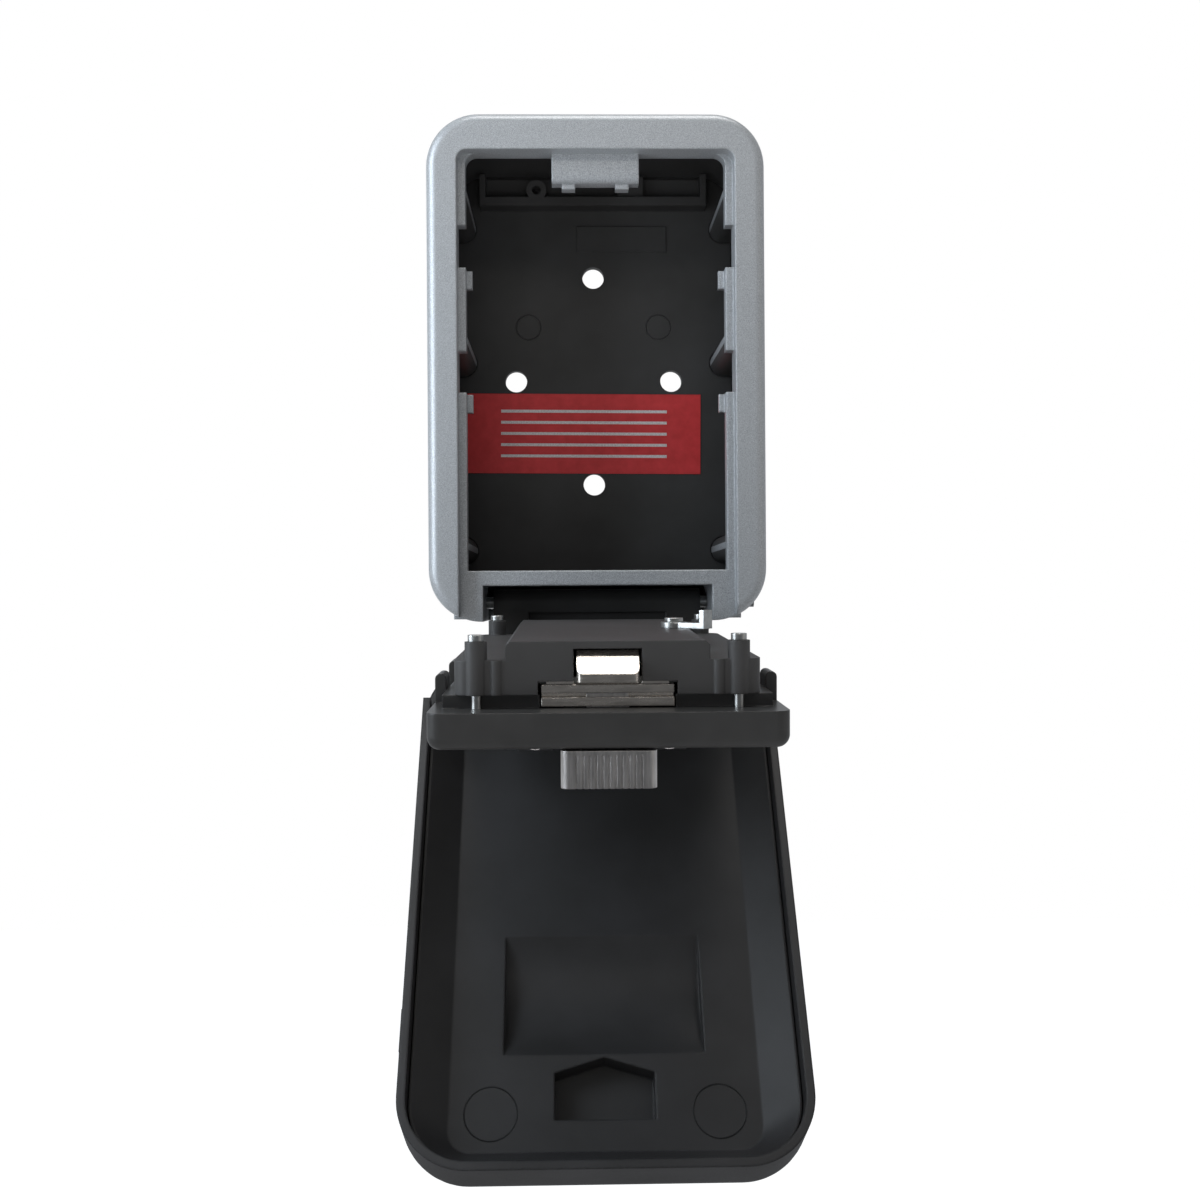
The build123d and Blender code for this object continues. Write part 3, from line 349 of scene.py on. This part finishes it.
def label_rules():
    """Five plain white lines of one length across the label."""
    a = math.radians(LABEL_TILT)
    parts = []
    for k in range(RULE_COUNT):
        up = ((RULE_COUNT - 1) / 2 - k) * RULE_PITCH
        outline = []
        for dx, dy in SQUARE:
            x, y = dx * RULE_L / 2, up + dy * RULE_H / 2
            outline.append((LABEL_AT[0] + x * math.cos(a) - y * math.sin(a),
                            LABEL_AT[1] + x * math.sin(a) + y * math.cos(a)))
        parts.append(prism(on_case, outline, LABEL_FACE - RULE_SINK, LABEL_FACE + RULE_RISE))
    mesh_piece("label_rules", *join(parts), WHITE, "case", "red_label")


# Rings: radius, half the width of the line, and its height
PLATE_RING = (3.4, 0.22, 0.12)
PLATE_RING_AT = ((-18.0, 15.0), (18.0, 15.0))
COVER_RING = (5.8, 0.2, 0.1)
COVER_RING_AT = ((-25.0, 48.5), (25.0, 48.5))


def moulding_rings():
    """Faint rings that the mould's pins leave on the back plate and on the cover's floor."""
    plate = [ring(on_case, x, y, PLATE_FACE, *PLATE_RING) for x, y in PLATE_RING_AT]
    mesh_piece("plate_rings", *join(plate), FINISHES["black_moulding"], "case", "black_moulding")

    def floor(x, y, z):
        """Mirrors the height, because the tray's floor faces the wall."""
        return on_cover(x, y, 2 * TRAY_FLOOR - z)

    cover = [ring(floor, x, y, TRAY_FLOOR, *COVER_RING) for x, y in COVER_RING_AT]
    mesh_piece("cover_rings", *join(cover), FINISHES["cover_moulding"], "cover", "cover_moulding")


DIGIT_SIZE = 5.0
DIGIT_RISE = 0.04


def digit_mesh(digit):
    """Thin mesh of one plain digit as vertices and faces, centred."""
    curve = bpy.data.curves.new("digit", "FONT")
    curve.body = str(digit)
    curve.size = DIGIT_SIZE
    curve.align_x = "CENTER"
    curve.align_y = "CENTER"
    curve.extrude = DIGIT_RISE
    holder = bpy.data.objects.new("digit", curve)
    bpy.context.scene.collection.objects.link(holder)
    bpy.context.view_layer.update()
    mesh = bpy.data.meshes.new_from_object(holder)
    vertices = [tuple(v.co) for v in mesh.vertices]
    faces = [tuple(p.vertices) for p in mesh.polygons]
    bpy.data.objects.remove(holder)
    bpy.data.curves.remove(curve)
    bpy.data.meshes.remove(mesh)
    middle = [(max(v[i] for v in vertices) + min(v[i] for v in vertices)) / 2 for i in (0, 1)]
    return [(x - middle[0], y - middle[1], z) for x, y, z in vertices], faces


def dial_numbers():
    """Plain white numbers on the ten flats of each dial."""
    glyphs = [digit_mesh(d) for d in range(DIAL_FACETS)]
    flat_out = DIAL_R * math.cos(math.pi / DIAL_FACETS)
    for n in range(1, 5):
        joint = JOINTS["dial_%d_turn" % n]
        x0 = joint["pos_m"][0] / MM
        parts = []
        for d, (vertices, faces) in enumerate(glyphs):
            a = 2 * math.pi * (d + 0.5) / DIAL_FACETS
            moved = []
            for gx, gy, gz in vertices:
                out = flat_out + gz
                y = DIAL_CENTRE[0] + out * math.sin(a) + gy * math.cos(a)
                z = DIAL_CENTRE[1] + out * math.cos(a) - gy * math.sin(a)
                moved.append(on_door(x0 + gx, y, z))
            parts.append((moved, faces))
        mesh_piece("dial_numbers_%d" % n, *join(parts), WHITE, "dial_%d" % n, "dial_metal")


# Light, floor and camera

def area_light(name, at, look_at, size, power, colour=(1, 1, 1), mirrored=True):
    data = bpy.data.lights.new(name, "AREA")
    data.shape = "RECTANGLE"
    data.size, data.size_y = size
    data.energy = power
    data.color = colour
    lamp = bpy.data.objects.new(name, data)
    lamp.location = at
    lamp.rotation_mode = "QUATERNION"
    lamp.rotation_quaternion = (Vector(look_at) - Vector(at)).to_track_quat("-Z", "Y")
    lamp.visible_camera = False
    lamp.visible_glossy = mirrored
    bpy.context.scene.collection.objects.link(lamp)
    return lamp


def make_lights():
    body = (0, -0.04, 0.0)
    cover = (0, -0.09, -0.14)
    area_light("window_left", (-0.23, -0.17, 0.06), body, (0.14, 0.3), 0.8, (0.84, 0.92, 1.0))
    area_light("above", (0.05, -0.16, 0.7), cover, (0.5, 0.3), 2.6, (1.0, 0.97, 0.93))
    area_light("front_low", (-0.1, -0.85, -0.35), cover, (0.5, 0.4), 1.1, (1.0, 0.97, 0.94), mirrored=False)
    area_light("front_high", (0.02, -0.7, 0.34), cover, (0.7, 0.07), 0.4, (1.0, 0.93, 0.86))
    area_light("warm_right", (0.6, -0.35, 0.1), body, (0.25, 0.5), 0.15, (1.0, 0.88, 0.76))


def make_world():
    """White all round for the eye; on the object an even light, stronger from above and behind."""
    world = bpy.data.worlds.new("studio")
    world.use_nodes = True
    bpy.context.scene.world = world
    nodes, links = world.node_tree.nodes, world.node_tree.links
    nodes.clear()
    coords = nodes.new("ShaderNodeTexCoord")
    axes = nodes.new("ShaderNodeSeparateXYZ")
    links.new(coords.outputs["Generated"], axes.inputs["Vector"])
    height = nodes.new("ShaderNodeMapRange")
    depth = nodes.new("ShaderNodeMapRange")
    for node, source, low, high in ((height, "Z", 0.45, 1.2), (depth, "Y", 0.15, 0.6)):
        node.inputs["From Min"].default_value = -1.0
        node.inputs["From Max"].default_value = 1.0
        node.inputs["To Min"].default_value = low
        node.inputs["To Max"].default_value = high
        links.new(axes.outputs[source], node.inputs["Value"])
    product = nodes.new("ShaderNodeMath")
    product.operation = "MULTIPLY"
    links.new(height.outputs["Result"], product.inputs[0])
    links.new(depth.outputs["Result"], product.inputs[1])
    seen = nodes.new("ShaderNodeBackground")
    seen.inputs["Color"].default_value = (1, 1, 1, 1)
    light = nodes.new("ShaderNodeBackground")
    light.inputs["Color"].default_value = (0.93, 0.96, 1, 1)
    links.new(product.outputs["Value"], light.inputs["Strength"])
    path = nodes.new("ShaderNodeLightPath")
    mix = nodes.new("ShaderNodeMixShader")
    out = nodes.new("ShaderNodeOutputWorld")
    links.new(path.outputs["Is Camera Ray"], mix.inputs["Fac"])
    links.new(light.outputs["Background"], mix.inputs[1])
    links.new(seen.outputs["Background"], mix.inputs[2])
    links.new(mix.outputs["Shader"], out.inputs["Surface"])


FLOOR_DROP = 0.9
FLOOR_HALF = 4.0


def make_floor():
    """Plain pale floor far enough under the safe to leave views from below clear."""
    level = cad_box[0].z - FLOOR_DROP
    mesh = bpy.data.meshes.new("floor")
    mesh.from_pydata([(x * FLOOR_HALF, y * FLOOR_HALF, level) for x, y in SQUARE], [], [(0, 1, 2, 3)])
    floor = bpy.data.objects.new("floor", mesh)
    bpy.context.scene.collection.objects.link(floor)
    floor.visible_glossy = False
    material, _, _, bsdf = new_material("pale_floor")
    bsdf.inputs["Base Color"].default_value = (0.8, 0.8, 0.8, 1)
    bsdf.inputs["Roughness"].default_value = 0.9
    bsdf.inputs["Emission Color"].default_value = (1, 1, 1, 1)
    bsdf.inputs["Emission Strength"].default_value = 0.75
    mesh.materials.append(material)


def make_camera():
    data = bpy.data.cameras.new("camera")
    data.sensor_width = SENSOR
    data.lens = FOCAL_PX / IMAGE_PX * SENSOR
    camera = bpy.data.objects.new("camera", data)
    bpy.context.scene.collection.objects.link(camera)
    yaw, pitch, roll = (math.radians(v) for v in (CAMERA_YAW, CAMERA_PITCH, CAMERA_ROLL))
    ahead = Vector((math.sin(yaw) * math.cos(pitch), math.cos(yaw) * math.cos(pitch), math.sin(pitch)))
    right = Vector((math.cos(yaw), -math.sin(yaw), 0))
    up = right.cross(ahead)
    across = right * math.cos(roll) + up * math.sin(roll)
    above = -right * math.sin(roll) + up * math.cos(roll)
    turn = Matrix((across, above, -ahead)).transposed().to_4x4()
    camera.matrix_world = Matrix.Translation(Vector(CAMERA_AT)) @ turn
    bpy.context.scene.camera = camera


make_camera()
make_world()
make_lights()
make_floor()
dress_nodes()
line_case()
label_rules()
moulding_rings()
dial_numbers()
bpy.context.scene.view_settings.view_transform = "Standard"
